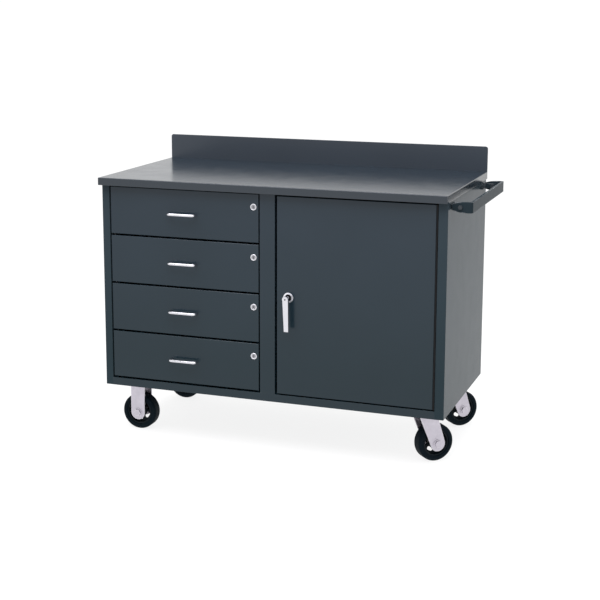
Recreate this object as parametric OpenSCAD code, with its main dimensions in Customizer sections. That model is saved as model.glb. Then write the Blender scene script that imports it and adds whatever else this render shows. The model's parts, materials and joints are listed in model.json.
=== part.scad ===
// Mobile steel workbench with four drawers, a cupboard, a push handle and four casters.
// The origin is on the floor under the middle of the whole bench. +X runs along the bench
// towards the push handle, +Y towards the backsplash and +Z up. All sizes are in millimetres.

/* [Bench] */
// Length of the worktop
bench_l = 1219.2; // [1180:0.1:1260]
// Depth of the worktop
bench_d = 609.6; // [590:0.1:640]
// Height of the working surface above the floor
bench_h = 914.4; // [900:0.1:930]
// Height of the backsplash above the working surface
splash_h = 88.9; // [50:0.1:150]
// Radius of the backsplash's top corners
splash_r = 9; // [2:0.5:20]
// Worktop overhang at each end
side_over = 3; // [3:0.1:10]
// Worktop overhang at the front
front_over = 25.4; // [15:0.1:35]
// Depth of the worktop's turned-down edge
edge_h = 26; // [20:0.5:35]

/* [Cabinet] */
// Height of the cabinet's lower edge above the floor
base_h = 177.8; // [175:0.1:185]
// Thickness of the cabinet's sheet
sheet = 1.5; // [1:0.1:2]
// Thickness of the worktop's sheet and of the backsplash
top_t = 3; // [2:0.1:4]
// Width of the left stile
stile_w = 27.3; // [25:0.1:35]
// Width of the right stile, on the hinge side
hinge_stile_w = 30.2; // [27:0.1:36]
// Width of the centre stile
centre_stile_w = 52.7; // [48:0.1:60]
// Height of the bottom rail
rail_h = 27; // [25:0.1:32]
// Depth of the stiles and of the door and drawer fronts
front_t = 20; // [19:0.5:24]
// Gap above and below each drawer front
gap = 6.5; // [4:0.1:8]
// Gap beside each drawer front
side_gap = 5; // [3:0.1:6]
// Gap at the door's free edge
door_gap = 7.5; // [4:0.1:9]
// Gap above the door
door_gap_top = 8.5; // [4:0.1:10]
// Gap below the door
door_gap_low = 4.2; // [3:0.1:6]

/* [Drawers] */
// Width of the drawer opening
bay_w = 553; // [540:0.1:560]
// Height from one drawer to the next
pitch = 169.5; // [168:0.1:170]
// Length of a drawer box behind its front
box_l = 520; // [500:1:530]
// Height of a drawer box
box_h = 130; // [100:1:140]
// Thickness of the drawer box sheet
box_t = 1.2; // [1:0.1:1.5]

/* [Handles and locks] */
// Overall length of a drawer pull
pull_l = 104; // [90:1:130]
// Diameter of the pull's rod
pull_d = 9.5; // [8:0.1:11]
// Reach of a pull from the drawer front
pull_reach = 30; // [26:1:32]
// Height of the lock's axis below the top of the drawer front
lock_drop = 43; // [35:1:55]
// Distance of the lock's axis from the right edge of the drawer front
lock_in = 16.7; // [16:0.1:20]
// Height of the door handle's axis above the floor
lever_z = 543; // [500:1:600]
// Distance of the door handle's axis from the door's free edge
lever_in = 41.7; // [38:0.1:50]
// Length of the door handle from its axis to its tip
lever_l = 110; // [100:1:120]
// Reach of the door handle from the door
lever_reach = 37; // [34:1:40]

/* [Push handle] */
// Reach of the push handle from the side panel
push_reach = 70; // [66:1:90]
// Height of the handle's strap along its grip
push_h = 36; // [30:0.5:40]
// Thickness of the handle's strap
push_t = 8; // [6:0.5:12]
// Height of the handle's middle above the floor
push_z = 871; // [860:1:871]
// Distance of the handle's arms from the front and the back of the cabinet
push_inset = 34; // [32:1:60]

/* [Casters] */
// Wheel diameter
wheel_d = 127; // [120:0.5:130]
// Tread width
wheel_w = 45; // [38:0.5:46]
// Distance of each caster's axis from the cabinet's end
caster_x = 90; // [86:1:110]
// Distance of each caster's axis from the cabinet's front or back
caster_y = 95; // [90:1:110]
// Trail of the swivel casters
trail = 40; // [35:0.5:44]
// Angle that the front swivel caster's wheel trails towards
front_swivel = 42; // [0:1:360]
// Angle that the rear swivel caster's wheel trails towards
rear_swivel = 44; // [0:1:360]

/* [Hidden] */
$fn = 64;
cut = 1;                                 // how far a cutting shape passes a face
clear = 0.4;                             // clearance between pieces that move past each other
run = 0.06;                              // radial clearance of a running fit
cab_w = bench_l - 2 * side_over;
cab_d = bench_d - front_over;
top_z = bench_h - top_t;                 // underside of the worktop's sheet
skirt_z = bench_h - edge_h;              // lower edge of the worktop
floor_z = base_h + rail_h;               // cabinet floor, inside
open_h = 4 * pitch + gap;                // height of the front openings
open_z = floor_z + open_h;               // top of the front openings
bay_x1 = stile_w + bay_w;                // right side of the drawer opening
door_x0 = bay_x1 + centre_stile_w;       // left side of the door opening
door_x1 = cab_w - hinge_stile_w;         // right side of the door opening
divide_x = bay_x1 + (centre_stile_w - sheet) / 2;
// The whole bench's box, which sets the origin
push_x = cab_w + push_reach;
mid_x = (push_x - side_over) / 2;
mid_y = (cab_d + top_t - lever_reach) / 2;

// Drawers, counted from the top
front_x0 = stile_w + side_gap;
front_x1 = bay_x1 - side_gap;
front_h = pitch - gap;
function drawer_z(i) = floor_z + gap + (4 - i) * pitch;
slide_gap = 12.7;                        // side room for a drawer slide
box_x0 = stile_w + slide_gap;
box_x1 = bay_x1 - slide_gap;
box_drop = 12;                           // box floor above the front's lower edge
rail_drop = 75;                          // slide axis above the front's lower edge
slide_h = 45;
slide_t = 1.2;
slide_y = 24;
runner_h = 38;
runner_short = 10;                       // a runner is this much shorter than the box
runner_in = 6;                           // from the box's front to the runner's
runner_t = 1.5;
post_w = 25;
post_front_y = 44;
post_back_y = 516;

// Pulls and locks
pull_bend = 8;
lock_x = front_x1 - lock_in;
lock_bezel_r = 11;
lock_body_r = 9.5;
lock_plug_r = 7;
lock_proud = 2.5;
lock_depth = 12;
cam_t = 2.5;
cam_w = 10;
cam_l = 25;
cam_hub_r = 8;
plug_end = 1;                            // how far the plug stands out behind its cam
slot_y0 = lock_depth - cut;
slot_y1 = lock_depth + cam_t + 3;
slot_up = cam_w / 2 + 2;                 // cam slot above and below the lock's axis
front_slot_down = 22;
stile_slot_down = 16;
key_w = 1.8;
key_h = 8;
key_deep = 4;

// Door
door_l = door_x0 + door_gap;
hinge_r = 2.4;
hinge_half = 3.5;                        // half of the gap that the hinge fills
hinge_x = door_x1 - hinge_half;
door_r = door_x1 - 2 * hinge_half;
door_z0 = floor_z + door_gap_low;
door_z1 = open_z - door_gap_top;
door_back_t = 1.5;
leaf_t = 1.4;
leaf_y0 = 2;
leaf_w = 15;
knuckles = 13;
knuckle_pitch = (door_z1 - door_z0) / knuckles;
hinge_pin_r = 1.3;
knuckle_side = 0.6;                      // from the hinge's axis to a knuckle's flat root
lever_x = door_l + lever_in;
lever_t = 9;
lever_hub_r = 10.5;
lever_hub_proud = 1.5;
lever_root = [-9.6, 9.9];                // the lever's sides at its hub and at its end
lever_end = [-4, 11];
lever_screw_r = 2.6;
lever_screw_deep = 4;
spindle_r = 7;
rose_r = 17;
rose_in_r = 11.5;
rose_t = 5;
rose_deep = 3.5;
latch_l = 60;
latch_hub_r = 14;
latch_w = 22;
latch_t = 3;
latch_y = front_t + 2.3;

// Shelf
shelf_z = 540;
shelf_h = 25;
shelf_y0 = 45;
shelf_side = 2;

// Casters
mount_z = 200;                           // face that the casters bolt to
plate_t = 6;
plate_x = 114.3;
plate_y = 101.6;
bolt_x = 92.1;
bolt_y = 66.7;
channel_w = 140;
channel_t = floor_z - sheet - mount_z;
channel_z = base_h + 2;
axle_z = wheel_d / 2;
leg_t = 5;
leg_y = 27;                              // half of the space between a fork's legs
leg_w = 52;
yoke_top_r = 31;
yoke_tip_r = 26;
crown_z = 172;
crown_t = 5;
race_z = 183;
axle_r = 6;
axle_nut = 22;
axle_nut_t = 8;
kingpin_r = 7;
kingpin_nut_t = 8;
race_r = 33;
top_race_r = 27;
caster_hole_r = 5.5;
caster_bolt_r = 5;
caster_bolt_flats = 16;
kingpin_flats = 20;
hub_l = 53;
hub_r = 15;
rim_r = 46;
rim_in_r = 41;
rim_w = 38;
web_t = 8;
web_holes = 5;                           // curved openings, a hole_turn long between end centres
web_hole_r = 6;
web_hole_at = 28.5;
web_hole_turn = 26;
left_x = caster_x;
right_x = cab_w - caster_x;
front_y = caster_y;
back_y = cab_d - caster_y;

// Push handle
push_corner = 11;
push_gap = 2;                            // from the side panel to the arms' ends
push_l = cab_d - 2 * push_inset;
// Half of an arm's height at distances from the side panel
arm_rise = [[push_gap, 9.3], [10, 12.5], [25, 15.8], [45, 17.4]];
arm_bolt_x = 31;
arm_bolt_r = 4;
arm_head = 13;
arm_head_t = 5;
bracket_h = 17;
bracket_l = 44;
bracket_t = 5;
foot_t = 5;
foot_l = 42;
foot_hole_r = 3.3;
foot_bolt_r = 3;
foot_head = 10;
foot_head_t = 4;
foot_nut_t = 5;
foot_bolts = [16, 34];                   // bolts along each foot, from the arm's inner face
edge_cut = 1.2;                          // softening of the front's edges
fold_cut = 2;                            // softening of the cabinet's corners
top_cut = 1.8;                           // softening of the worktop's edges

PAINT = [0.23, 0.27, 0.30];
CHROME = [0.80, 0.80, 0.82];
ZINC = [0.72, 0.71, 0.74];
BLACK = [0.07, 0.08, 0.09];
IRON = [0.15, 0.17, 0.18];
GALVANISED = [0.62, 0.64, 0.66];

// ---- shared shapes ----

// Moves a piece from the cabinet's front left corner to the bench's own frame.
module place(colour) {
    color(colour)
        translate([-mid_x, -mid_y, 0])
            children();
}

// A box from its lowest to its highest corner.
module block(low, high) {
    translate(low)
        cube(high - low);
}

// A cylinder along +Y.
module rod_y(r, length) {
    rotate([-90, 0, 0])
        cylinder(r = r, h = length);
}

// A cylinder along +X.
module rod_x(r, length) {
    rotate([0, 90, 0])
        cylinder(r = r, h = length);
}

// A bar along +X with round ends of radius r1 and r2.
module tapered_bar(length, r1, r2) {
    a = acos((r1 - r2) / length);
    p1 = r1 * [cos(a), sin(a)];
    p2 = r2 * [cos(a), sin(a)] + [length, 0];
    circle(r = r1);
    translate([length, 0])
        circle(r = r2);
    polygon([p1, p2, [p2.x, -p2.y], [p1.x, -p1.y]]);
}

// A hexagon prism along +Z, across_flats wide.
module hexagon(across_flats, height) {
    cylinder(d = across_flats / cos(30), h = height, $fn = 6);
}

// Cuts a slope of legs c along an edge that runs along X, Y or Z through the middle of size.
module edge_slope(c, size) {
    if (size.x > c)
        rotate([45, 0, 0])
            cube([size.x, c * sqrt(2), c * sqrt(2)], center = true);
    if (size.y > c)
        rotate([0, 45, 0])
            cube([c * sqrt(2), size.y, c * sqrt(2)], center = true);
    if (size.z > c)
        rotate([0, 0, 45])
            cube([c * sqrt(2), c * sqrt(2), size.z], center = true);
}

// Slopes on the four edges of a front face that lies on y = 0.
module front_slopes(x0, x1, z0, z1) {
    for (x = [x0, x1])
        translate([x, 0, (z0 + z1) / 2])
            edge_slope(edge_cut, [0, 0, z1 - z0 + 2 * cut]);
    for (z = [z0, z1])
        translate([(x0 + x1) / 2, 0, z])
            edge_slope(edge_cut, [x1 - x0 + 2 * cut, 0, 0]);
}

// ---- cabinet ----

module worktop() {
    x1 = cab_w + side_over;
    place(PAINT)
        difference() {
            block([-side_over, -front_over, skirt_z], [x1, cab_d, bench_h]);
            block([-side_over + top_t, -front_over + top_t, skirt_z - cut],
                  [x1 - top_t, cab_d + cut, top_z]);
            for (x = [-side_over, x1]) {
                translate([x, (cab_d - front_over) / 2, bench_h])
                    edge_slope(top_cut, [0, bench_d + 2 * cut, 0]);
                translate([x, -front_over, bench_h])
                    edge_slope(top_cut, [0, 0, 2 * (bench_h - skirt_z) + 2 * cut]);
            }
            translate([cab_w / 2, -front_over, bench_h])
                edge_slope(top_cut, [bench_l + 2 * cut, 0, 0]);
        }
}

module backsplash() {
    length = cab_w + 2 * side_over;
    height = bench_h + splash_h - skirt_z;
    place(PAINT)
        translate([-side_over, cab_d + top_t, skirt_z])
            rotate([90, 0, 0])
                linear_extrude(top_t) {
                    square([length, height - splash_r]);
                    translate([splash_r, 0])
                        square([length - 2 * splash_r, height]);
                    for (x = [splash_r, length - splash_r])
                        translate([x, height - splash_r])
                            circle(r = splash_r);
                }
}

// A side panel with its front edge folded into a stile and its rear edge folded in,
// drawn with its outer face on x = 0.
module side_panel(stile) {
    rear_fold = 20;
    difference() {
        union() {
            block([0, 0, base_h], [sheet, cab_d, top_z]);
            block([0, 0, base_h], [stile, sheet, top_z]);
            block([stile - sheet, 0, floor_z], [stile, front_t, open_z]);
            block([0, cab_d - sheet, base_h], [rear_fold, cab_d, top_z]);
        }
        for (y = [0, cab_d])
            translate([0, y, bench_h / 2])
                edge_slope(fold_cut, [0, 0, bench_h]);
    }
}

module left_side_panel() {
    place(PAINT)
        side_panel(stile_w);
}

module right_side_panel() {
    place(PAINT)
        translate([cab_w, 0, 0])
            mirror([1, 0, 0])
                difference() {
                    side_panel(hinge_stile_w);
                    for (y = arm_foot_bolts())
                        translate([-cut, y, push_z])
                            rod_x(foot_hole_r, sheet + 2 * cut);
                }
}

module back_panel() {
    place(PAINT)
        block([sheet, cab_d - 2 * sheet, base_h], [cab_w - sheet, cab_d - sheet, top_z]);
}

module base_pan() {
    place(PAINT)
        difference() {
            union() {
                block([sheet, sheet, floor_z - sheet], [cab_w - sheet, cab_d - 2 * sheet, floor_z]);
                block([stile_w, 0, base_h], [cab_w - hinge_stile_w, sheet, floor_z]);
            }
            caster_bolt_holes(floor_z - sheet - cut, sheet + 2 * cut);
        }
}

module top_rail() {
    place(PAINT) {
        block([stile_w, 0, open_z], [door_x1, sheet, top_z]);
        block([stile_w, 0, open_z], [door_x1, front_t, open_z + sheet]);
    }
}

module centre_stile() {
    place(PAINT)
        difference() {
            block([bay_x1, 0, floor_z], [door_x0, front_t, open_z]);
            block([bay_x1 + sheet, sheet, floor_z - cut],
                  [door_x0 - sheet, front_t + cut, open_z + cut]);
            for (i = [1:4])
                translate([bay_x1 - cut, slot_y0, drawer_z(i) + front_h - lock_drop])
                    block([0, 0, -stile_slot_down], [sheet + 2 * cut, slot_y1 - slot_y0, slot_up]);
        }
}

module centre_partition() {
    place(PAINT)
        block([divide_x, front_t, floor_z], [divide_x + sheet, cab_d - 2 * sheet, open_z]);
}

// An upright channel that a pair of slide rails is screwed to, open to the back.
module slide_post(width) {
    difference() {
        block([0, 0, floor_z], [width, post_w, open_z]);
        block([sheet, sheet, floor_z - cut], [width - sheet, post_w + cut, open_z + cut]);
    }
}

module slide_posts() {
    place(GALVANISED)
        for (y = [post_front_y, post_back_y]) {
            translate([sheet, y, 0])
                slide_post(stile_w - sheet);
            translate([bay_x1, y, 0])
                slide_post(divide_x - bay_x1);
        }
}

// A slide rail that opens towards +X, with its axis on z = 0.
module slide_rail() {
    depth = slide_gap - clear;
    difference() {
        block([0, 0, -slide_h / 2], [depth, box_l + front_t - slide_y, slide_h / 2]);
        block([slide_t, -cut, slide_t - slide_h / 2],
              [depth + cut, box_l + front_t - slide_y + cut, slide_h / 2 - slide_t]);
    }
}

module slide_rails() {
    place(GALVANISED)
        for (i = [1:4]) {
            translate([stile_w, slide_y, drawer_z(i) + rail_drop])
                slide_rail();
            translate([bay_x1, slide_y, drawer_z(i) + rail_drop])
                mirror([1, 0, 0])
                    slide_rail();
        }
}

module shelf() {
    x0 = divide_x + sheet + shelf_side;
    x1 = cab_w - sheet - shelf_side;
    y1 = cab_d - 2 * sheet - shelf_side;
    place(PAINT)
        difference() {
            block([x0, shelf_y0, shelf_z - shelf_h], [x1, y1, shelf_z]);
            block([x0 - cut, shelf_y0 + sheet, shelf_z - shelf_h - cut],
                  [x1 + cut, y1 - sheet, shelf_z - sheet]);
        }
}

// An angle that carries one end of the shelf, drawn against the face x = 0.
module shelf_bracket() {
    length = 420;
    depth = 14;
    block([0, 0, -depth], [depth, length, 0]);
}

module shelf_brackets() {
    bracket_y = 90;
    place(GALVANISED) {
        translate([divide_x + sheet, bracket_y, shelf_z - sheet])
            shelf_bracket();
        translate([cab_w - sheet, bracket_y, shelf_z - sheet])
            mirror([1, 0, 0])
                shelf_bracket();
    }
}

// ---- push handle ----

// Where the foot bolts stand along Y.
function arm_foot_bolts() = concat(
    [for (b = foot_bolts) push_inset + push_t + b],
    [for (b = foot_bolts) cab_d - push_inset - push_t - b]
);

// The handle from above: a strap bent round both corners, its near arm's outer face on y = 0.
module push_plan() {
    difference() {
        union() {
            translate([push_gap, 0])
                square([push_reach - push_corner - push_gap, push_l]);
            translate([push_gap, push_corner])
                square([push_reach - push_gap, push_l - 2 * push_corner]);
            for (y = [push_corner, push_l - push_corner])
                translate([push_reach - push_corner, y])
                    circle(r = push_corner);
        }
        translate([0, push_t])
            square([push_reach - push_t, push_l - 2 * push_t]);
    }
}

// The handle from the front: it narrows towards the side panel.
module push_side() {
    rise = concat(arm_rise, [[push_reach + cut, push_h / 2]]);
    polygon(concat(rise, [for (k = [len(rise) - 1:-1:0]) [rise[k].x, -rise[k].y]]));
}

module push_handle() {
    place(PAINT)
        translate([cab_w, push_inset, push_z])
            difference() {
                intersection() {
                    translate([0, 0, -push_h])
                        linear_extrude(2 * push_h)
                            push_plan();
                    translate([0, push_l + cut, 0])
                        rotate([90, 0, 0])
                            linear_extrude(push_l + 2 * cut)
                                push_side();
                }
                translate([arm_bolt_x, -cut, 0])
                    rod_y(arm_bolt_r, push_l + 2 * cut);
            }
}

// An angle with one leg on the panel, x = 0, and the other on an arm's inner face, y = 0.
module push_bracket() {
    difference() {
        union() {
            block([0, 0, -bracket_h / 2], [foot_t, foot_l, bracket_h / 2]);
            block([0, 0, -bracket_h / 2], [bracket_l, bracket_t, bracket_h / 2]);
        }
        for (b = foot_bolts)
            translate([-cut, b, 0])
                rod_x(foot_hole_r, foot_t + 2 * cut);
        translate([arm_bolt_x, -cut, 0])
            rod_y(arm_bolt_r, bracket_t + 2 * cut);
    }
}

module push_handle_brackets() {
    place(PAINT) {
        translate([cab_w, push_inset + push_t, push_z])
            push_bracket();
        translate([cab_w, cab_d - push_inset - push_t, push_z])
            mirror([0, 1, 0])
                push_bracket();
    }
}

// ---- casters ----

module at_plate_holes() {
    for (x = [-bolt_x / 2, bolt_x / 2])
        for (y = [-bolt_y / 2, bolt_y / 2])
            translate([x, y, 0])
                children();
}

module at_casters() {
    for (x = [left_x, right_x])
        for (y = [front_y, back_y])
            translate([x, y, 0])
                children();
}

module caster_bolt_holes(z, height) {
    at_casters()
        at_plate_holes()
            translate([0, 0, z])
                cylinder(r = caster_hole_r, h = height);
}

module caster_channels() {
    place(PAINT)
        difference() {
            for (x = [left_x, right_x])
                difference() {
                    block([x - channel_w / 2, 2 * sheet, channel_z],
                          [x + channel_w / 2, cab_d - 3 * sheet, mount_z + channel_t]);
                    block([x - channel_w / 2 + channel_t, 0, channel_z - cut],
                          [x + channel_w / 2 - channel_t, cab_d, mount_z]);
                }
            caster_bolt_holes(mount_z - cut, channel_t + 2 * cut);
        }
}

// A caster bolt from its head under the plate to its nut on the cabinet floor.
module caster_bolt() {
    head = 5.5;
    nut = 6.5;
    translate([0, 0, mount_z - plate_t - head])
        hexagon(caster_bolt_flats, head);
    translate([0, 0, mount_z - plate_t])
        cylinder(r = caster_bolt_r, h = floor_z - mount_z + plate_t);
    translate([0, 0, floor_z])
        hexagon(caster_bolt_flats, nut);
}

// A push handle bolt along X, its head on the foot and its nut inside the panel.
module foot_bolt() {
    translate([foot_t, 0, 0])
        rotate([0, 90, 0])
            hexagon(foot_head, foot_head_t);
    translate([-sheet, 0, 0])
        rod_x(foot_bolt_r, foot_t + sheet);
    translate([-sheet - foot_nut_t, 0, 0])
        rotate([0, 90, 0])
            hexagon(foot_head, foot_nut_t);
}

// A bolt through an arm and its bracket, its head on the arm's outer face, y = 0.
module arm_bolt() {
    rotate([90, 0, 0])
        hexagon(arm_head, arm_head_t);
    rod_y(arm_bolt_r, push_t + bracket_t);
    translate([0, push_t + bracket_t, 0])
        rotate([-90, 0, 0])
            hexagon(arm_head, arm_head_t);
}

module mounting_bolts() {
    place(ZINC) {
        at_casters()
            at_plate_holes()
                caster_bolt();
        for (y = arm_foot_bolts())
            translate([cab_w, y, push_z])
                foot_bolt();
        translate([cab_w + arm_bolt_x, push_inset, push_z])
            arm_bolt();
        translate([cab_w + arm_bolt_x, cab_d - push_inset, push_z])
            mirror([0, 1, 0])
                arm_bolt();
    }
}

module top_plate() {
    difference() {
        block([-plate_x / 2, -plate_y / 2, mount_z - plate_t], [plate_x / 2, plate_y / 2, mount_z]);
        at_plate_holes()
            translate([0, 0, mount_z - plate_t - cut])
                cylinder(r = caster_hole_r, h = plate_t + 2 * cut);
    }
}

// A bent leg of the rigid fork, its inner face on y = 0.
module rigid_leg() {
    difference() {
        translate([0, leg_t, 0])
            rotate([90, 0, 0])
                linear_extrude(leg_t) {
                    translate([0, axle_z])
                        circle(r = leg_w / 2);
                    translate([-leg_w / 2, axle_z])
                        square([leg_w, mount_z - plate_t - axle_z]);
                }
        translate([0, -cut, axle_z])
            rod_y(axle_r, leg_t + 2 * cut);
    }
}

module rigid_caster_forks() {
    place(ZINC)
        for (y = [front_y, back_y])
            translate([left_x, y, 0]) {
                top_plate();
                translate([0, leg_y, 0])
                    rigid_leg();
                translate([0, -leg_y - leg_t, 0])
                    rigid_leg();
            }
}

// An axle bolt along Y, centred on y = 0.
module axle_bolt() {
    half = leg_y + leg_t;
    translate([0, -half, 0])
        rod_y(axle_r, 2 * half);
    translate([0, -half, 0])
        rotate([90, 0, 0])
            hexagon(axle_nut, axle_nut_t);
    translate([0, half, 0])
        rotate([-90, 0, 0])
            hexagon(axle_nut, axle_nut_t);
}

module rigid_axle_bolts() {
    place(ZINC)
        for (y = [front_y, back_y])
            translate([left_x, y, axle_z])
                axle_bolt();
}

module swivel_top_plates() {
    nut_z = crown_z - clear - kingpin_nut_t;
    place(ZINC)
        for (y = [front_y, back_y])
            translate([right_x, y, 0]) {
                top_plate();
                translate([0, 0, race_z])
                    cylinder(r = top_race_r, h = mount_z - plate_t - race_z);
                translate([0, 0, nut_z])
                    cylinder(r = kingpin_r, h = race_z - nut_z);
                translate([0, 0, nut_z])
                    hexagon(kingpin_flats, kingpin_nut_t);
            }
}

// One leg of a swivel yoke, its inner face on y = 0, leaning back to the trailing axle.
module yoke_leg() {
    drop = crown_z + crown_t - axle_z;
    difference() {
        translate([0, leg_t, 0])
            rotate([90, 0, 0])
                linear_extrude(leg_t)
                    intersection() {
                        translate([0, crown_z + crown_t])
                            rotate(-atan2(drop, trail))
                                tapered_bar(norm([drop, trail]), yoke_top_r, yoke_tip_r);
                        translate([-wheel_d, 0])
                            square([2 * wheel_d, crown_z + crown_t]);
                    }
        translate([trail, -cut, axle_z])
            rod_y(axle_r, leg_t + 2 * cut);
    }
}

module swivel_yoke() {
    difference() {
        union() {
            block([-yoke_top_r, -leg_y - leg_t, crown_z], [yoke_top_r, leg_y + leg_t, crown_z + crown_t]);
            translate([0, 0, crown_z])
                cylinder(r = race_r, h = race_z - clear - crown_z);
            translate([0, leg_y, 0])
                yoke_leg();
            translate([0, -leg_y - leg_t, 0])
                yoke_leg();
        }
        translate([0, 0, crown_z - cut])
            cylinder(r = kingpin_r + run, h = race_z - crown_z + 2 * cut);
    }
}

module at_swivel(y, angle) {
    translate([right_x, y, 0])
        rotate(angle)
            children();
}

module front_swivel_yoke() {
    place(ZINC)
        at_swivel(front_y, front_swivel)
            swivel_yoke();
}

module rear_swivel_yoke() {
    place(ZINC)
        at_swivel(back_y, rear_swivel)
            swivel_yoke();
}

module swivel_axle(y, angle) {
    place(ZINC)
        at_swivel(y, angle)
            translate([trail, 0, axle_z])
                axle_bolt();
}

// Puts a wheel that is drawn along +Y on its own axle.
module at_wheel(name) {
    if (name == "front_left")
        translate([left_x, front_y, axle_z])
            children();
    if (name == "rear_left")
        translate([left_x, back_y, axle_z])
            children();
    if (name == "front_right")
        at_swivel(front_y, front_swivel)
            translate([trail, 0, axle_z])
                children();
    if (name == "rear_right")
        at_swivel(back_y, rear_swivel)
            translate([trail, 0, axle_z])
                children();
}

// A moulded tyre with a flat tread and round shoulders.
module tyre(name) {
    shoulder = 9;
    place(BLACK)
        at_wheel(name)
            rotate([90, 0, 0])
                rotate_extrude() {
                    translate([rim_r, -wheel_w / 2])
                        square([wheel_d / 2 - shoulder - rim_r, wheel_w]);
                    translate([rim_r, -wheel_w / 2 + shoulder])
                        square([wheel_d / 2 - rim_r, wheel_w - 2 * shoulder]);
                    for (s = [-1, 1])
                        translate([wheel_d / 2 - shoulder, s * (wheel_w / 2 - shoulder)])
                            circle(r = shoulder);
                }
}

// A curved opening through the web, centred on the direction of +X.
module web_opening() {
    for (a = [-web_hole_turn / 2, web_hole_turn / 2])
        rotate(a)
            translate([web_hole_at, 0, -web_t / 2 - cut])
                cylinder(r = web_hole_r + clear, h = web_t + 2 * cut);
    rotate(-web_hole_turn / 2)
        rotate_extrude(angle = web_hole_turn)
            translate([web_hole_at - web_hole_r, -web_t / 2 - cut])
                square([2 * web_hole_r, web_t + 2 * cut]);
}

// Where the first opening of each core stands, about the axle.
function core_turn(name) =
    name == "front_left" ? 37
    : name == "front_right" ? 98
    : name == "rear_right" ? 100
    : 0;

// The cast core: a hub, a web with curved openings and a rim.
module wheel_core(name) {
    place(IRON)
        at_wheel(name)
            rotate([90, 0, 0])
                difference() {
                    union() {
                        translate([0, 0, -hub_l / 2])
                            cylinder(r = hub_r, h = hub_l);
                        translate([0, 0, -web_t / 2])
                            cylinder(r = rim_in_r + cut, h = web_t);
                        rotate_extrude()
                            translate([rim_in_r, -rim_w / 2])
                                square([rim_r - rim_in_r, rim_w]);
                    }
                    translate([0, 0, -hub_l / 2 - cut])
                        cylinder(r = axle_r + run, h = hub_l + 2 * cut);
                    for (k = [0:web_holes - 1])
                        rotate(core_turn(name) + k * 360 / web_holes)
                            web_opening();
                }
}

// ---- door ----

module hinge_pin(r) {
    translate([hinge_x, 0, door_z0])
        cylinder(r = r, h = door_z1 - door_z0);
}

// Knuckles number first, first + 2, ... of the continuous hinge. side is -1 towards the door.
module knuckles(first, side) {
    for (k = [first:2:knuckles - 1])
        translate([hinge_x, 0, door_z0 + k * knuckle_pitch + clear / 2]) {
            cylinder(r = hinge_r, h = knuckle_pitch - clear);
            translate([side > 0 ? knuckle_side : -hinge_half, 0, 0])
                cube([hinge_half - knuckle_side, hinge_half, knuckle_pitch - clear]);
        }
}

module hinge_frame_leaf() {
    place(PAINT)
        difference() {
            union() {
                block([door_x1 - leaf_t, leaf_y0, door_z0], [door_x1, leaf_y0 + leaf_w, door_z1]);
                knuckles(1, 1);
            }
            hinge_pin(hinge_pin_r + run);
        }
}

// The door's leaf carries the hinge pin.
module hinge_door_leaf() {
    place(PAINT) {
        block([door_r, leaf_y0, door_z0], [door_r + leaf_t, leaf_y0 + leaf_w, door_z1]);
        knuckles(0, -1);
        hinge_pin(hinge_pin_r);
    }
}

module door_skin() {
    place(PAINT)
        difference() {
            block([door_l, 0, door_z0], [door_r, front_t - door_back_t, door_z1]);
            block([door_l + sheet, sheet, door_z0 + sheet], [door_r - sheet, front_t, door_z1 - sheet]);
            front_slopes(door_l, door_r, door_z0, door_z1);
            translate([lever_x, -cut, lever_z])
                rod_y(spindle_r + clear, sheet + 2 * cut);
        }
}

module door_inner_panel() {
    place(PAINT)
        difference() {
            block([door_l, front_t - door_back_t, door_z0], [door_r, front_t, door_z1]);
            translate([lever_x, front_t - door_back_t - cut, lever_z])
                rod_y(spindle_r + clear, door_back_t + 2 * cut);
        }
}

// A ring with a recess round the spindle.
module handle_rose() {
    place(CHROME)
        translate([lever_x, -rose_t, lever_z])
            difference() {
                rod_y(rose_r, rose_t);
                translate([0, -cut, 0])
                    rod_y(rose_in_r, rose_deep + cut);
                translate([0, -cut, 0])
                    rod_y(spindle_r + run, rose_t + 2 * cut);
            }
}

// The lever hangs down from its spindle, which runs through the door.
module lever_handle() {
    back_y = -lever_reach + lever_hub_proud + lever_t;
    tip = lever_l - cut;
    place(CHROME)
        translate([lever_x, 0, lever_z])
            difference() {
                union() {
                    translate([0, back_y, 0])
                        rotate([90, 90, 0])
                            linear_extrude(lever_t) {
                                circle(r = lever_hub_r);
                                polygon([[0, lever_root[0]], [tip, lever_end[0]],
                                         [tip, lever_end[1]], [0, lever_root[1]]]);
                            }
                    translate([0, -lever_reach, 0])
                        rod_y(lever_hub_r - cut, lever_hub_proud + cut);
                    translate([0, back_y - cut, 0])
                        rod_y(spindle_r, latch_y - back_y + cut);
                }
                translate([0, -lever_reach - cut, 0])
                    rod_y(lever_screw_r, lever_screw_deep + cut);
            }
}

// The latch cam stands up when the lever hangs down, clear of the centre stile.
module latch_cam() {
    nut = 13;
    nut_t = 5;
    place(ZINC)
        translate([lever_x, latch_y, lever_z]) {
            translate([0, latch_t, 0])
                rotate([90, -90, 0])
                    linear_extrude(latch_t)
                        tapered_bar(latch_l - latch_w / 2, latch_hub_r, latch_w / 2);
            translate([0, latch_t, 0])
                rotate([-90, 0, 0])
                    hexagon(nut, nut_t);
        }
}

// ---- drawers ----

module drawer_front(i) {
    z0 = drawer_z(i);
    lock_z = z0 + front_h - lock_drop;
    place(PAINT)
        difference() {
            block([front_x0, 0, z0], [front_x1, front_t, z0 + front_h]);
            block([front_x0 + sheet, sheet, z0 + sheet],
                  [front_x1 - sheet, front_t + cut, z0 + front_h - sheet]);
            front_slopes(front_x0, front_x1, z0, z0 + front_h);
            translate([lock_x, -cut, lock_z])
                rod_y(lock_body_r, sheet + 2 * cut);
            translate([front_x1 - sheet - cut, slot_y0, lock_z])
                block([0, 0, -front_slot_down], [sheet + 2 * cut, slot_y1 - slot_y0, slot_up]);
        }
}

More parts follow.
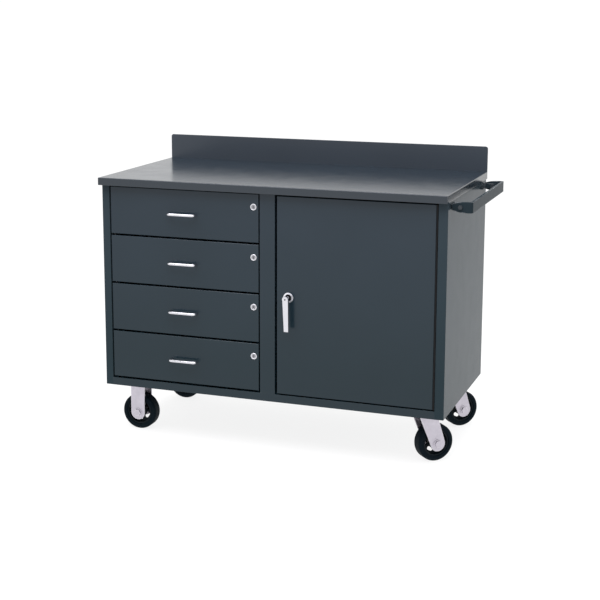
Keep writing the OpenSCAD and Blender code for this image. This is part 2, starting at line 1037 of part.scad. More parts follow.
// A runner that slides inside a slide rail, drawn on the face x = 0 and reaching to -X.
module runner() {
    depth = slide_gap - slide_t - 2 * clear;
    length = box_l - runner_short;
    difference() {
        block([-depth, 0, -runner_h / 2], [0, length, runner_h / 2]);
        block([-depth - cut, -cut, runner_t - runner_h / 2],
              [-runner_t, length + cut, runner_h / 2 - runner_t]);
    }
}

module drawer_box(i) {
    z0 = drawer_z(i) + box_drop;
    runner_y = front_t + runner_in;
    place(GALVANISED) {
        difference() {
            block([box_x0, front_t, z0], [box_x1, front_t + box_l, z0 + box_h]);
            block([box_x0 + box_t, front_t + box_t, z0 + box_t],
                  [box_x1 - box_t, front_t + box_l - box_t, z0 + box_h + cut]);
        }
        translate([box_x0, runner_y, drawer_z(i) + rail_drop])
            runner();
        translate([box_x1, runner_y, drawer_z(i) + rail_drop])
            mirror([1, 0, 0])
                runner();
    }
}

// A bent rod: a straight grip, two bends and two legs.
module drawer_pull(i) {
    half = pull_l / 2 - pull_d / 2;
    reach = pull_reach - pull_d / 2;
    place(CHROME)
        translate([(front_x0 + front_x1) / 2, 0, drawer_z(i) + front_h / 2]) {
            translate([-half + pull_bend, -reach, 0])
                rod_x(pull_d / 2, 2 * (half - pull_bend));
            for (s = [-1, 1]) {
                translate([s * half, -reach + pull_bend, 0])
                    rod_y(pull_d / 2, reach - pull_bend);
                translate([s * (half - pull_bend), -reach + pull_bend, 0])
                    rotate([0, 0, s > 0 ? -90 : 180])
                        rotate_extrude(angle = 90)
                            translate([pull_bend, 0])
                                circle(d = pull_d);
            }
        }
}

module drawer_lock_body(i) {
    place(CHROME)
        translate([lock_x, -lock_proud, drawer_z(i) + front_h - lock_drop])
            difference() {
                union() {
                    rod_y(lock_bezel_r, lock_proud);
                    rod_y(lock_body_r, lock_proud + lock_depth - clear);
                }
                translate([0, -cut, 0])
                    rod_y(lock_plug_r + run, lock_proud + lock_depth + 2 * cut);
            }
}

// The plug with its key slot and the cam that hangs down when unlocked.
module drawer_lock_plug(i) {
    place(CHROME)
        translate([lock_x, -lock_proud, drawer_z(i) + front_h - lock_drop]) {
            difference() {
                rod_y(lock_plug_r, lock_proud + lock_depth + cam_t + plug_end);
                block([-key_w / 2, -cut, -key_h / 2], [key_w / 2, key_deep, key_h / 2]);
            }
            translate([0, lock_proud + lock_depth + cam_t, 0])
                rotate([90, 90, 0])
                    linear_extrude(cam_t) {
                        circle(r = cam_hub_r);
                        translate([0, -cam_w / 2])
                            square([cam_l, cam_w]);
                    }
        }
}

// ---- nodes ----

worktop();
backsplash();
left_side_panel();
right_side_panel();
back_panel();
base_pan();
top_rail();
centre_stile();
centre_partition();
slide_posts();
slide_rails();
shelf();
shelf_brackets();
caster_channels();
push_handle_brackets();
push_handle();
mounting_bolts();
hinge_frame_leaf();
door_skin();
door_inner_panel();
hinge_door_leaf();
handle_rose();
lever_handle();
latch_cam();
rigid_caster_forks();
rigid_axle_bolts();
swivel_top_plates();
front_swivel_yoke();
rear_swivel_yoke();
swivel_axle(front_y, front_swivel);  // front_swivel_axle
swivel_axle(back_y, rear_swivel);  // rear_swivel_axle
for (w = ["front_left", "rear_left", "front_right", "rear_right"]) {
    tyre(w);
    wheel_core(w);
}
for (i = [1:4]) {
    drawer_front(i);
    drawer_box(i);
    drawer_pull(i);
    drawer_lock_body(i);
    drawer_lock_plug(i);
}
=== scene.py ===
"""Looks of the mobile workbench: materials, edge rounding, small detail, floor, light and camera."""
import json
import math

import bmesh
import bpy
from mathutils import Matrix, Vector


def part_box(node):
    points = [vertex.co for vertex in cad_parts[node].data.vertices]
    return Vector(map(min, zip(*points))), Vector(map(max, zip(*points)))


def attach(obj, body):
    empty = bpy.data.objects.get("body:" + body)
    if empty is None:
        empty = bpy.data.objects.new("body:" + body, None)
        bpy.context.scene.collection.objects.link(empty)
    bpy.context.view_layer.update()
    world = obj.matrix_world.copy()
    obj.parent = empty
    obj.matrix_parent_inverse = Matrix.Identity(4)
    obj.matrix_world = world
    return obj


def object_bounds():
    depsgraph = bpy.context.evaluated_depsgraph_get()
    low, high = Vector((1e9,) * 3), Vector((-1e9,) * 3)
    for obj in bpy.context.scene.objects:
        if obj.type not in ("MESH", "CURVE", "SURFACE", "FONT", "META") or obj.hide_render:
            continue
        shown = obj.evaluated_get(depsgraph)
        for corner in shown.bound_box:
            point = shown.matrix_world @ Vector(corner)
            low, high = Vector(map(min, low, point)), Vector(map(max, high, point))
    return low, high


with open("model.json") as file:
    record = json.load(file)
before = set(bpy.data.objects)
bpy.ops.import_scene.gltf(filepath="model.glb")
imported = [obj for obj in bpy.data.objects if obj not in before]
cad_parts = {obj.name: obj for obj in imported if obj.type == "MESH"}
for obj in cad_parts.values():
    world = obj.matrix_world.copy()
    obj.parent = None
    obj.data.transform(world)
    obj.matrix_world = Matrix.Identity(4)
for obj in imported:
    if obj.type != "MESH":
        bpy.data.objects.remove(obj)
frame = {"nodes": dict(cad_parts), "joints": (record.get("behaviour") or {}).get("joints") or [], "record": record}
cad_low, cad_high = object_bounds()
MM = 0.001
RACE_SEAL_Z = 0.1819                     # the swivel casters' races, under their top plates
RACE_GROOVE_Z = 0.1785


# ---- camera, floor and light ----

def make_camera():
    """The photograph's viewpoint: from the front right, a little above the worktop."""
    cam = bpy.data.cameras.new("camera")
    cam.lens = 81.45
    cam.shift_x = 0.04
    cam.shift_y = -0.10
    ob = bpy.data.objects.new("camera", cam)
    ob.location = (1.520, -4.404, 1.548)
    ob.rotation_euler = (math.radians(90 - 10.48), 0, math.radians(20.24))
    bpy.context.scene.collection.objects.link(ob)
    bpy.context.scene.camera = ob


def make_floor():
    size = 30
    mesh = bpy.data.meshes.new("floor")
    points = [(-size, -size, 0), (size, -size, 0), (size, size, 0), (-size, size, 0)]
    mesh.from_pydata(points, [], [(0, 1, 2, 3)])
    floor = bpy.data.objects.new("floor", mesh)
    floor.location.z = cad_low.z - 0.0002
    bpy.context.scene.collection.objects.link(floor)
    mat = bpy.data.materials.new("pale_floor")
    mat.use_nodes = True
    bsdf = mat.node_tree.nodes["Principled BSDF"]
    bsdf.inputs["Base Color"].default_value = (0.18, 0.18, 0.18, 1)
    bsdf.inputs["Emission Color"].default_value = (1, 1, 1, 1)
    bsdf.inputs["Emission Strength"].default_value = 0.84
    bsdf.inputs["Roughness"].default_value = 0.9
    bsdf.inputs["Specular IOR Level"].default_value = 0.1
    floor.data.materials.append(mat)


def area_light(name, place, aim, size, power, tint):
    light = bpy.data.lights.new(name, "AREA")
    light.shape = "RECTANGLE"
    light.size, light.size_y = size
    light.energy = power
    light.color = tint
    ob = bpy.data.objects.new(name, light)
    ob.location = place
    ob.rotation_euler = (Vector(aim) - Vector(place)).to_track_quat("-Z", "Y").to_euler()
    bpy.context.scene.collection.objects.link(ob)


def make_light():
    world = bpy.data.worlds.new("studio")
    bpy.context.scene.world = world
    world.use_nodes = True
    back = world.node_tree.nodes["Background"]
    back.inputs["Color"].default_value = (1.0, 1.0, 1.0, 1)
    back.inputs["Strength"].default_value = 1.03
    area_light("overhead", (0.0, -0.9, 3.2), (0.0, -0.1, 0.5), (3.2, 3.2), 150, (0.97, 0.95, 1.0))
    area_light("side", (3.4, 1.4, 2.6), (0.2, 0, 0.4), (1.6, 1.6), 12, (1.0, 1.0, 1.0))
    bpy.context.scene.view_settings.view_transform = "Standard"


# ---- materials ----

class Shader:
    """A procedural material under construction: short names for the nodes it uses."""

    def __init__(self, name, roughness, metallic=0.0):
        self.mat = bpy.data.materials.new(name)
        self.mat.use_nodes = True
        self.tree = self.mat.node_tree
        self.bsdf = self.tree.nodes["Principled BSDF"]
        self.bsdf.inputs["Roughness"].default_value = roughness
        self.bsdf.inputs["Metallic"].default_value = metallic
        self.where = self.tree.nodes.new("ShaderNodeTexCoord").outputs["Object"]

    def link(self, a, b):
        self.tree.links.new(a, b)

    def noise(self, scale, detail=3.0, stretch=(1, 1, 1)):
        """Values about 0.5, at scale features a metre."""
        mapping = self.tree.nodes.new("ShaderNodeMapping")
        mapping.inputs["Scale"].default_value = stretch
        tex = self.tree.nodes.new("ShaderNodeTexNoise")
        tex.inputs["Scale"].default_value = scale
        tex.inputs["Detail"].default_value = detail
        self.link(self.where, mapping.inputs["Vector"])
        self.link(mapping.outputs["Vector"], tex.inputs["Vector"])
        return tex.outputs["Fac"]

    def cells(self, scale):
        """A random grey for each cell of a crystal pattern."""
        tex = self.tree.nodes.new("ShaderNodeTexVoronoi")
        tex.inputs["Scale"].default_value = scale
        self.link(self.where, tex.inputs["Vector"])
        grey = self.tree.nodes.new("ShaderNodeRGBToBW")
        self.link(tex.outputs["Color"], grey.inputs["Color"])
        return grey.outputs["Val"]

    def height(self):
        """How high the point is above the floor, in metres."""
        split = self.tree.nodes.new("ShaderNodeSeparateXYZ")
        self.link(self.where, split.inputs["Vector"])
        return split.outputs["Z"]

    def remap(self, value, low, high, to_low, to_high):
        node = self.tree.nodes.new("ShaderNodeMapRange")
        node.inputs["From Min"].default_value = low
        node.inputs["From Max"].default_value = high
        node.inputs["To Min"].default_value = to_low
        node.inputs["To Max"].default_value = to_high
        self.link(value, node.inputs["Value"])
        return node.outputs["Result"]

    def times(self, a, b):
        node = self.tree.nodes.new("ShaderNodeMath")
        node.operation = "MULTIPLY"
        self.link(a, node.inputs[0])
        self.link(b, node.inputs[1])
        return node.outputs["Value"]

    def mix(self, fac, a, b):
        """Colour a where fac is 0 and colour b where it is 1; a and b are colours or outputs."""
        node = self.tree.nodes.new("ShaderNodeMix")
        node.data_type = "RGBA"
        self.link(fac, node.inputs["Factor"])
        for socket, value in ((node.inputs[6], a), (node.inputs[7], b)):
            if isinstance(value, tuple):
                socket.default_value = (*value, 1)
            else:
                self.link(value, socket)
        return node.outputs[2]

    def edges(self, radius):
        """1 on edges that are sharper than radius, 0 on flat faces: the mask for rubbed edges and for painted edge
        highlights.
        """
        bevel = self.tree.nodes.new("ShaderNodeBevel")
        bevel.inputs["Radius"].default_value = radius
        bevel.samples = 4
        shape = self.tree.nodes.new("ShaderNodeNewGeometry")
        dot = self.tree.nodes.new("ShaderNodeVectorMath")
        dot.operation = "DOT_PRODUCT"
        self.link(bevel.outputs["Normal"], dot.inputs[0])
        self.link(shape.outputs["Normal"], dot.inputs[1])
        return self.remap(dot.outputs["Value"], 0.98, 0.80, 0, 1)

    def bump(self, height, strength, distance):
        node = self.tree.nodes.new("ShaderNodeBump")
        node.inputs["Strength"].default_value = strength
        node.inputs["Distance"].default_value = distance
        self.link(height, node.inputs["Height"])
        self.link(node.outputs["Normal"], self.bsdf.inputs["Normal"])

    def colour(self, output):
        self.link(output, self.bsdf.inputs["Base Color"])

    def rough(self, output):
        self.link(output, self.bsdf.inputs["Roughness"])


def paint_material(name, low, high, specular, wear_and_highlight_colour=(0.12, 0.13, 0.14), wear_and_highlight_radius=0.0012):
    """Dark blue-grey powder coat, satin, with a faint orange peel. Its colour goes from low at 0.3 m to high at 1
    m above the floor, a painted light gradient that is lighter towards the top. Edges are mixed to a lighter
    colour, which is rubbed paint and, where that colour is bright, a painted edge highlight.
    """
    s = Shader(name, 0.2)
    s.bsdf.inputs["Specular IOR Level"].default_value = specular
    # Painted light: the colour is lighter towards the top, as if lit from above.
    painted_height_light = s.mix(s.remap(s.height(), 0.3, 1.0, 0, 1), low, high)
    cloud = s.mix(s.remap(s.noise(2.5), 0.3, 0.7, 0, 0.25), painted_height_light, tuple(v * 0.6 for v in low))
    # Lighter edges: rubbed paint, and where the given colour is bright, a painted highlight along the edge.
    wear_and_highlight_mask = s.times(s.edges(wear_and_highlight_radius), s.remap(s.noise(60), 0.45, 0.65, 0, 0.6))
    s.colour(s.mix(wear_and_highlight_mask, cloud, wear_and_highlight_colour))
    s.rough(s.remap(s.noise(14, 4), 0.3, 0.7, 0.19, 0.23))
    s.bump(s.noise(420, 2), 0.03, 0.0003)
    return s.mat


def chrome_material():
    s = Shader("chrome", 0.1, 1.0)
    s.colour(s.mix(s.noise(40), (0.60, 0.60, 0.64), (0.70, 0.70, 0.74)))
    s.rough(s.remap(s.noise(90, 4), 0.35, 0.7, 0.05, 0.17))
    return s.mat


def satin_chrome_material():
    s = Shader("satin_chrome", 0.4, 1.0)
    s.colour(s.mix(s.noise(40), (0.78, 0.78, 0.83), (0.88, 0.88, 0.92)))
    s.rough(s.remap(s.noise(90, 4), 0.35, 0.7, 0.32, 0.45))
    return s.mat


def dark_chrome_material():
    """The keyed face of a lock plug, dulled by use."""
    s = Shader("dark_chrome", 0.35, 1.0)
    s.colour(s.mix(s.noise(300, 4), (0.22, 0.22, 0.24), (0.34, 0.34, 0.36)))
    s.rough(s.remap(s.noise(500, 4), 0.35, 0.7, 0.3, 0.5))
    return s.mat


def zinc_material():
    """Bright zinc plate: pale, faintly lavender, with cloudy patches and painted highlights along its edges."""
    s = Shader("zinc_plate", 0.38, 1.0)
    cloud = s.mix(s.noise(35, 4), (0.45, 0.43, 0.48), (0.58, 0.55, 0.61))
    # Painted highlight: edges sharper than 2.2 mm are mixed to near white.
    s.colour(s.mix(s.edges(0.0022), cloud, (0.92, 0.91, 0.94)))
    s.rough(s.remap(s.noise(120, 5), 0.3, 0.7, 0.3, 0.5))
    s.bump(s.noise(500, 3), 0.08, 0.0003)
    return s.mat


def bolt_material():
    """Zinc-plated caster bolts; the push handle's bolts, higher up, are painted with the bench."""
    s = Shader("bolt_finish", 0.35)
    painted = s.remap(s.height(), 0.79, 0.80, 0, 1)
    s.colour(s.mix(painted, (0.55, 0.53, 0.58), (0.016, 0.022, 0.028)))
    s.link(s.remap(painted, 0, 1, 1, 0), s.bsdf.inputs["Metallic"])
    s.rough(s.remap(s.noise(120, 5), 0.3, 0.7, 0.28, 0.48))
    s.bump(s.noise(500, 3), 0.08, 0.0003)
    return s.mat


def galvanised_material():
    """Galvanised sheet with its crystal spangle."""
    s = Shader("galvanised", 0.4, 1.0)
    spangle = s.cells(85)
    s.colour(s.mix(spangle, (0.46, 0.48, 0.50), (0.62, 0.64, 0.66)))
    s.rough(s.remap(spangle, 0, 1, 0.3, 0.5))
    s.bump(s.noise(300, 2), 0.05, 0.0003)
    return s.mat


def tyre_material():
    """Moulded rubber with dust in its grain."""
    s = Shader("rubber", 0.6)
    rubber = s.mix(s.noise(30, 4), (0.0006, 0.0040, 0.0068), (0.0020, 0.0066, 0.0105))
    s.colour(s.mix(s.remap(s.noise(160, 5), 0.55, 0.75, 0, 0.2), rubber, (0.016, 0.020, 0.024)))
    s.bsdf.inputs["Specular IOR Level"].default_value = 0.07
    s.rough(s.remap(s.noise(70), 0.3, 0.7, 0.5, 0.7))
    s.bump(s.noise(700, 3), 0.1, 0.0004)
    return s.mat


def core_material():
    """Painted cast iron."""
    s = Shader("painted_casting", 0.5)
    s.colour(s.mix(s.noise(50, 4), (0.0015, 0.005, 0.008), (0.005, 0.010, 0.014)))
    s.bsdf.inputs["Specular IOR Level"].default_value = 0.15
    s.rough(s.remap(s.noise(90), 0.3, 0.7, 0.4, 0.6))
    s.bump(s.noise(260, 4), 0.35, 0.0006)
    return s.mat


def black_material():
    """Black oxide and dark seals, a little oily. On the hinge leaves and the rose bushing this black also paints
    the shading in the hinge-side gap and in the rose's recess.
    """
    s = Shader("black_oxide_and_gap_shading", 0.45)
    s.bsdf.inputs["Specular IOR Level"].default_value = 0.15
    s.colour(s.mix(s.noise(80, 4), (0.003, 0.003, 0.0035), (0.007, 0.007, 0.008)))
    s.rough(s.remap(s.noise(200), 0.3, 0.7, 0.35, 0.55))
    s.bump(s.noise(600, 2), 0.1, 0.0002)
    return s.mat


def make_materials():
    return {
        "black": black_material(),
        # Body: darker colour at the bottom, lighter at the top; the difference is painted light from above.
        "body_paint": paint_material("powder_coat_painted_height_light", (0.007, 0.018, 0.025), (0.020, 0.030, 0.042), 0.32),
        # Side panels: a lighter, almost matt copy of the powder coat, also lighter towards the top; its colour
        # paints the light falling on the side faces.
        "side_paint_painted_light": paint_material(
            "powder_coat_side_painted_light", (0.021, 0.034, 0.041), (0.032, 0.044, 0.054), 0.04),
        # Push handle: an almost matt copy of the powder coat whose bright edge colour, over a wide radius, paints
        # highlights along the handle's edges.
        "handle_paint_painted_highlight": paint_material("powder_coat_handle_painted_highlight", (0.018, 0.027, 0.033), (0.018, 0.027, 0.033),
                                       0.01, (0.45, 0.46, 0.48), 0.004),
        "bolts": bolt_material(),
        # Worktop: a darker, glossier copy of the powder coat. Its darker colour paints the shading on the
        # worktop's front edge, and its bright edge colour paints highlights along the worktop's edges.
        "top_paint_painted_light": paint_material("powder_coat_top_painted_light", (0.011, 0.018, 0.026), (0.011, 0.018, 0.026),
                                    0.6, (0.24, 0.25, 0.28)),
        # Backsplash: a lighter copy of the powder coat, as light as the top of the body's gradient; its lightness
        # is painted light from above.
        "splash_paint_painted_light": paint_material(
            "powder_coat_splash_painted_light", (0.023, 0.031, 0.042), (0.023, 0.031, 0.042), 0.4),
        "chrome": chrome_material(),
        "satin_chrome": satin_chrome_material(),
        "dark_chrome": dark_chrome_material(),
        "zinc_plate": zinc_material(),
        "galvanised": galvanised_material(),
        "tyre": tyre_material(),
        "wheel_core": core_material(),
    }


# ---- CAD nodes: material and rounded edges ----

def round_edges(ob, width, segments=2):
    """Rounds a CAD node's sharp edges with modifiers; its own mesh stays as it is."""
    weld = ob.modifiers.new("weld", "WELD")
    weld.merge_threshold = 0.00002
    flatten = ob.modifiers.new("flatten", "DECIMATE")
    flatten.decimate_type = "DISSOLVE"
    flatten.angle_limit = math.radians(1)
    bevel = ob.modifiers.new("bevel", "BEVEL")
    bevel.width = width
    bevel.segments = segments
    bevel.limit_method = "ANGLE"
    bevel.angle_limit = math.radians(38)
    for polygon in ob.data.polygons:
        polygon.use_smooth = True
    flat = ob.modifiers.new("weighted_normals", "WEIGHTED_NORMAL")
    flat.weight = 80
    flat.keep_sharp = True


def edge_width(name):
    if name == "worktop":
        return 1.3 * MM
    if name == "push_handle":
        return 2.2 * MM
    if name in ("backsplash", "lever_handle", "push_handle_brackets"):
        return 1.2 * MM
    if name.endswith(("_tyre", "_wheel_core", "_pull")):
        return 0.8 * MM
    if "yoke" in name or "fork" in name:
        return 0.9 * MM
    return 0.5 * MM


# Nodes whose material differs a little from their slot's common one. The side, top, splash and handle copies of
# the powder coat paint light, shading and edge highlights into their colour; the hinge leaves' black also paints
# the shading in the hinge-side gap; the rest are finishes of their own.
FINISHES = {
    "worktop": "top_paint_painted_light",
    "backsplash": "splash_paint_painted_light",
    "left_side_panel": "side_paint_painted_light",
    "right_side_panel": "side_paint_painted_light",
    "push_handle": "handle_paint_painted_highlight",
    "push_handle_brackets": "handle_paint_painted_highlight",
    "mounting_bolts": "bolts",
    "handle_rose": "satin_chrome",
    # The hinge leaves are black: this paints the shading in the gap on the door's hinge side.
    "hinge_frame_leaf": "black",
    "hinge_door_leaf": "black",
    "drawer_1_lock_plug": "dark_chrome",
    "drawer_2_lock_plug": "dark_chrome",
    "drawer_3_lock_plug": "dark_chrome",
    "drawer_4_lock_plug": "dark_chrome",
}


def dress_nodes(materials):
    slots = {row["node"]: row["material_slot"] for row in frame["record"]["subparts"]}
    for name, ob in frame["nodes"].items():
        ob.data.materials.clear()
        finish = FINISHES.get(name, slots[name])
        ob.data.materials.append(materials[finish])
        round_edges(ob, edge_width(name))


# ---- small detail: modelled once at the origin along +Z, then placed ----

def lathe(bm, profile, steps=32):
    """A solid of revolution about Z from (radius, height) points; ends on the axis are closed."""
    rings = []
    for radius, height in profile:
        if radius == 0:
            rings.append([bm.verts.new((0, 0, height))])
        else:
            rings.append([bm.verts.new((radius * math.cos(math.tau * k / steps),
                                        radius * math.sin(math.tau * k / steps), height))
                          for k in range(steps)])
    for low, high in zip(rings, rings[1:]):
        for k in range(steps):
            n = (k + 1) % steps
            if len(low) == 1:
                bm.faces.new((low[0], high[k], high[n]))
            elif len(high) == 1:
                bm.faces.new((low[k], low[n], high[0]))
            else:
                bm.faces.new((low[k], low[n], high[n], high[k]))


def ring(bm, major, minor, steps=48, around=10):
    """A torus about Z, centred on z = 0."""
    rows = []
    for k in range(steps):
        a = math.tau * k / steps
        rows.append([bm.verts.new(((major + minor * math.cos(math.tau * j / around)) * math.cos(a),
                                   (major + minor * math.cos(math.tau * j / around)) * math.sin(a),
                                   minor * math.sin(math.tau * j / around))) for j in range(around)])
    for k in range(steps):
        for j in range(around):
            n, m = (k + 1) % steps, (j + 1) % around
            bm.faces.new((rows[k][j], rows[n][j], rows[n][m], rows[k][m]))


def washer(bm, inner, outer, height):
    lathe(bm, [(inner, 0), (outer, 0), (outer, height * 0.8), (outer - height * 0.2, height),
               (inner, height), (inner, 0)])


def pan_head(bm, radius, height):
    """A rounded screw head with a round drive recess."""
    lathe(bm, [(0, 0), (radius, 0), (radius, height * 0.35), (radius * 0.86, height * 0.75),
               (radius * 0.55, height), (radius * 0.22, height), (radius * 0.16, height * 0.45),
               (0, height * 0.35)], 20)


def rivet(bm, radius, height):
    lathe(bm, [(0, 0), (radius, 0), (radius * 0.95, height * 0.4), (radius * 0.7, height * 0.82),
               (radius * 0.35, height), (0, height)], 20)


TO = {"+x": Matrix.Rotation(math.radians(90), 4, "Y"),
      "-x": Matrix.Rotation(math.radians(-90), 4, "Y"),
      "+y": Matrix.Rotation(math.radians(-90), 4, "X"),
      "-y": Matrix.Rotation(math.radians(90), 4, "X"),
      "+z": Matrix.Identity(4),
      "-z": Matrix.Rotation(math.radians(180), 4, "X")}


def piece(name, body, material, places, draw, width=0.0, smooth=50):
    """One visual piece made of copies of a small shape; places are (point, direction or turn)."""
    bm = bmesh.new()
    for point, way in places:
        before = set(bm.verts)
        draw(bm)
        turn = TO[way] if isinstance(way, str) else way
        move = Matrix.Translation(point) @ turn
        bmesh.ops.transform(bm, matrix=move, verts=[v for v in bm.verts if v not in before])
    bmesh.ops.recalc_face_normals(bm, faces=bm.faces)
    mesh = bpy.data.meshes.new(name)
    bm.to_mesh(mesh)
    bm.free()
    mesh.materials.append(material)
    ob = bpy.data.objects.new(name, mesh)
    bpy.context.scene.collection.objects.link(ob)
    mesh.shade_smooth()
    mesh.set_sharp_from_angle(angle=math.radians(smooth))
    if width:
        bevel = ob.modifiers.new("bevel", "BEVEL")
        bevel.width = width
        bevel.segments = 2
        bevel.limit_method = "ANGLE"
        bevel.angle_limit = math.radians(smooth)
    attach(ob, body)
    return ob


def corners(node):
    """Lowest and highest corner of a CAD node, as vectors."""
    low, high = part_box(node)
    return Vector(low), Vector(high)


def rod(bm, radius, length, point, way):
    """A round rod from point, along way."""
    before = set(bm.verts)
    lathe(bm, [(0, 0), (radius, 0), (radius, length), (0, length)], 14)
    bmesh.ops.transform(bm, matrix=Matrix.Translation(point) @ TO[way],
                        verts=[v for v in bm.verts if v not in before])


def drawer_details(mats, i):
    """Lock rim, pull screws, rolled top edges, runner screws and spot welds of drawer i."""
    body = f"drawer_{i}"
    low, high = corners(f"drawer_{i}_box")
    front_low = corners(f"drawer_{i}_front")[0]
    pull_low, pull_high = corners(f"drawer_{i}_pull")
    lock_low, lock_high = corners(f"drawer_{i}_lock_body")
    lock = (lock_low + lock_high) / 2
    wall = 1.2 * MM
    side = 12.7 * MM                     # a runner's share of the box's width
    inner_low, inner_high = low.x + side * 0.97, high.x - side * 0.97
    piece(f"drawer_{i}_lock_rim", body, mats["chrome"],
          [((lock.x, lock_low.y + 0.6 * MM, lock.z), "-y")],
          lambda bm: ring(bm, 9.9 * MM, 0.9 * MM))
    pull_z = (pull_low.z + pull_high.z) / 2
    half = (pull_high.x - pull_low.x) / 2 - 5 * MM
    pull_x = (pull_low.x + pull_high.x) / 2
    piece(f"drawer_{i}_pull_screws", body, mats["zinc_plate"],
          [((pull_x + s * half, low.y + wall, pull_z), "+y") for s in (-1, 1)],
          lambda bm: (washer(bm, 2 * MM, 7 * MM, 1.2 * MM), pan_head(bm, 4.6 * MM, 3.4 * MM)))
    hem_z = high.z - 0.6 * MM
    hem_r = 1.7 * MM
    length = high.y - low.y - 4 * MM

    def hems(bm):
        for x in (inner_low + hem_r, inner_high - hem_r):
            rod(bm, hem_r, length, (x, low.y + 2 * MM, hem_z), "+y")
        rod(bm, hem_r, inner_high - inner_low - 4 * hem_r,
            (inner_low + 2 * hem_r, high.y - hem_r, hem_z), "+x")

    piece(f"drawer_{i}_box_hems", body, mats["galvanised"], [((0, 0, 0), "+z")], hems)
    screws = []
    runner_z = front_low.z + 75 * MM
    for k in range(4):
        y = low.y + 60 * MM + k * (high.y - low.y - 120 * MM) / 3
        screws.append(((inner_low + wall, y, runner_z), "+x"))
        screws.append(((inner_high - wall, y, runner_z), "-x"))
    piece(f"drawer_{i}_runner_screws", body, mats["zinc_plate"], screws,
          lambda bm: pan_head(bm, 4 * MM, 1.8 * MM))
    step = (inner_high - inner_low - 60 * MM) / 7
    spots = [((inner_low + 30 * MM + k * step, low.y + wall, low.z + 14 * MM), "+y") for k in range(8)]
    piece(f"drawer_{i}_box_spots", body, mats["galvanised"], spots,
          lambda bm: rivet(bm, 2.6 * MM, 0.35 * MM))


def door_details(mats):
    """Stamped ribs, spot welds, rose bushing, whose black paints the shading in the rose's recess, and lever
    screw.
    """
    low, high = corners("door_inner_panel")
    lever_low = corners("lever_handle")[0]
    rose_low, rose_high = corners("handle_rose")
    rose = (rose_low + rose_high) / 2
    spacing = (high.x - low.x) / 4

    def rib(bm):
        half, rise = 17 * MM, 2.6 * MM
        z0, z1 = low.z + 70 * MM, high.z - 70 * MM
        foot = [(-half, z0), (half, z0), (half, z1), (-half, z1)]
        top = [(x * 0.62, z0 + 7 * MM if z == z0 else z1 - 7 * MM) for x, z in foot]
        a = [bm.verts.new((x, 0, z)) for x, z in foot]
        b = [bm.verts.new((x, rise, z)) for x, z in top]
        bm.faces.new(b)
        bm.faces.new(a[::-1])
        for k in range(4):
            n = (k + 1) % 4
            bm.faces.new((a[k], a[n], b[n], b[k]))

    piece("door_ribs", "door", mats["body_paint"],
          [((low.x + spacing * k, high.y, 0), "+z") for k in (1.6, 2.4, 3.2)], rib, 1.2 * MM, 20)
    spots = []
    for k in range(11):
        z = low.z + 14 * MM + k * (high.z - low.z - 28 * MM) / 10
        spots += [((x, high.y, z), "+y") for x in (low.x + 9 * MM, high.x - 9 * MM)]
    for k in range(1, 9):
        x = low.x + 9 * MM + k * (high.x - low.x - 18 * MM) / 9
        spots += [((x, high.y, z), "+y") for z in (low.z + 9 * MM, high.z - 9 * MM)]
    piece("door_spot_welds", "door", mats["body_paint"], spots,
          lambda bm: rivet(bm, 2.8 * MM, 0.4 * MM))
    # The rose bushing is a black ring in the rose's counterbore; its black paints the shading inside the rose's
    # recess.
    piece("rose_bushing_painted_shading", "door", mats["black"],
          [((rose.x, rose_high.y - 1.2 * MM, rose.z), "-y")],
          lambda bm: washer(bm, 7.2 * MM, 11.3 * MM, 1.0 * MM))
    piece("lever_screw", "door_lever", mats["black"],
          [((rose.x, lever_low.y + 3.9 * MM, rose.z), "-y")],
          lambda bm: lathe(bm, [(0, 0), (2.4 * MM, 0), (2.4 * MM, 1.8 * MM), (2.0 * MM, 2.2 * MM),
                                (1.2 * MM, 2.2 * MM), (1.1 * MM, 0.9 * MM), (0, 0.9 * MM)], 24))


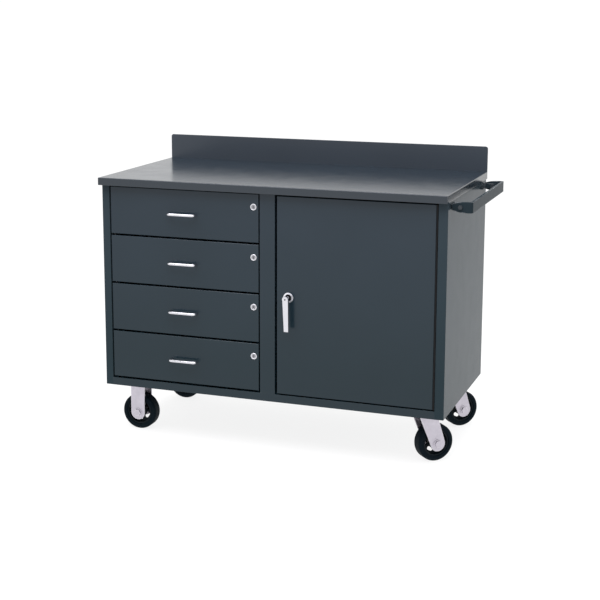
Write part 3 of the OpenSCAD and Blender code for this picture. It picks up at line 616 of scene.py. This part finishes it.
def caster_details(mats):
    """Axle washers, bolt ends, sidewall rings, bearing seals, yoke rivets and swivel races."""
    reach = 32 * MM                      # from a wheel's middle to the outside of its fork
    sides = (("front", "front_left", "front_right"), ("rear", "rear_left", "rear_right"))
    for side, left, right in sides:
        joint = next(j for j in frame["joints"] if j["name"] == f"{side}_swivel")
        spin = next(j for j in frame["joints"] if j["name"] == f"{side}_right_wheel_spin")
        roll = next(j for j in frame["joints"] if j["name"] == f"{side}_left_wheel_spin")
        swivel_at = Vector(joint["pos_m"])
        for name, body, wheel_body, at, axis in (
                (left, "cabinet", f"{side}_left_wheel", Vector(roll["pos_m"]), Vector(roll["axis"])),
                (right, f"{side}_yoke", f"{side}_right_wheel",
                 Vector(spin["pos_m"]), Vector(spin["axis"]))):
            axis.normalize()
            out = axis.to_track_quat("Z", "X").to_matrix().to_4x4()
            back = (-axis).to_track_quat("Z", "X").to_matrix().to_4x4()
            piece(f"{name}_axle_washers", body, mats["zinc_plate"],
                  [(at + axis * reach, out), (at - axis * reach, back)],
                  lambda bm: washer(bm, 6 * MM, 15 * MM, 1.6 * MM))
            piece(f"{name}_bolt_ends", body, mats["zinc_plate"],
                  [(at + axis * (reach + 8 * MM), out)],
                  lambda bm: lathe(bm, [(0, 0), (6 * MM, 0), (6 * MM, 3.4 * MM),
                                        (5 * MM, 4.4 * MM), (0, 4.4 * MM)]))
            piece(f"{name}_sidewall_rings", wheel_body, mats["tyre"],
                  [(at + axis * 22.3 * MM, out), (at - axis * 22.3 * MM, out)],
                  lambda bm: (ring(bm, 49 * MM, 0.7 * MM), ring(bm, 52.2 * MM, 0.7 * MM)))
            piece(f"{name}_bearing_seals", wheel_body, mats["black"],
                  [(at + axis * 21 * MM, out), (at - axis * 21 * MM, back)],
                  lambda bm: washer(bm, 14.9 * MM, 18.5 * MM, 2.2 * MM))
            if body != "cabinet":
                up = Vector((swivel_at.x, swivel_at.y, 0)) - Vector((at.x, at.y, 0))
                lean = (up.normalized() * 6 * MM) + Vector((0, 0, 18 * MM))
                piece(f"{name}_yoke_rivets", body, mats["zinc_plate"],
                      [(at + axis * reach + lean, out), (at - axis * reach + lean, back)],
                      lambda bm: rivet(bm, 4 * MM, 1.6 * MM))
        piece(f"{side}_race_seal", f"{side}_yoke", mats["black"],
              [((swivel_at.x, swivel_at.y, RACE_SEAL_Z), "+z")],
              lambda bm: ring(bm, 31.5 * MM, 1.1 * MM))
        piece(f"{side}_race_groove", f"{side}_yoke", mats["zinc_plate"],
              [((swivel_at.x, swivel_at.y, RACE_GROOVE_Z), "+z")],
              lambda bm: ring(bm, 32.7 * MM, 1.0 * MM))


def cabinet_details(mats):
    """Spot welds on the back panel and screws on the shelf."""
    low, high = corners("back_panel")
    spots = []
    centre = (low.x + high.x) / 2
    step = (high.z - low.z - 60 * MM) / 12
    for x in (low.x + 12 * MM, centre - 8 * MM, centre + 8 * MM, high.x - 12 * MM):
        spots += [((x, high.y, low.z + 30 * MM + k * step), "+y") for k in range(13)]
    piece("back_spot_welds", "cabinet", mats["body_paint"], spots,
          lambda bm: rivet(bm, 3 * MM, 0.4 * MM))
    shelf_low, shelf_high = corners("shelf")
    screws = [((x, shelf_low.y + 60 * MM + k * 0.17, shelf_high.z), "+z")
              for x in (shelf_low.x + 8 * MM, shelf_high.x - 8 * MM) for k in range(3)]
    piece("shelf_screws", "cabinet", mats["zinc_plate"], screws,
          lambda bm: pan_head(bm, 4.2 * MM, 2 * MM))


# ---- build ----

make_camera()
make_floor()
make_light()
materials = make_materials()
dress_nodes(materials)
for number in range(1, 5):
    drawer_details(materials, number)
door_details(materials)
caster_details(materials)
cabinet_details(materials)
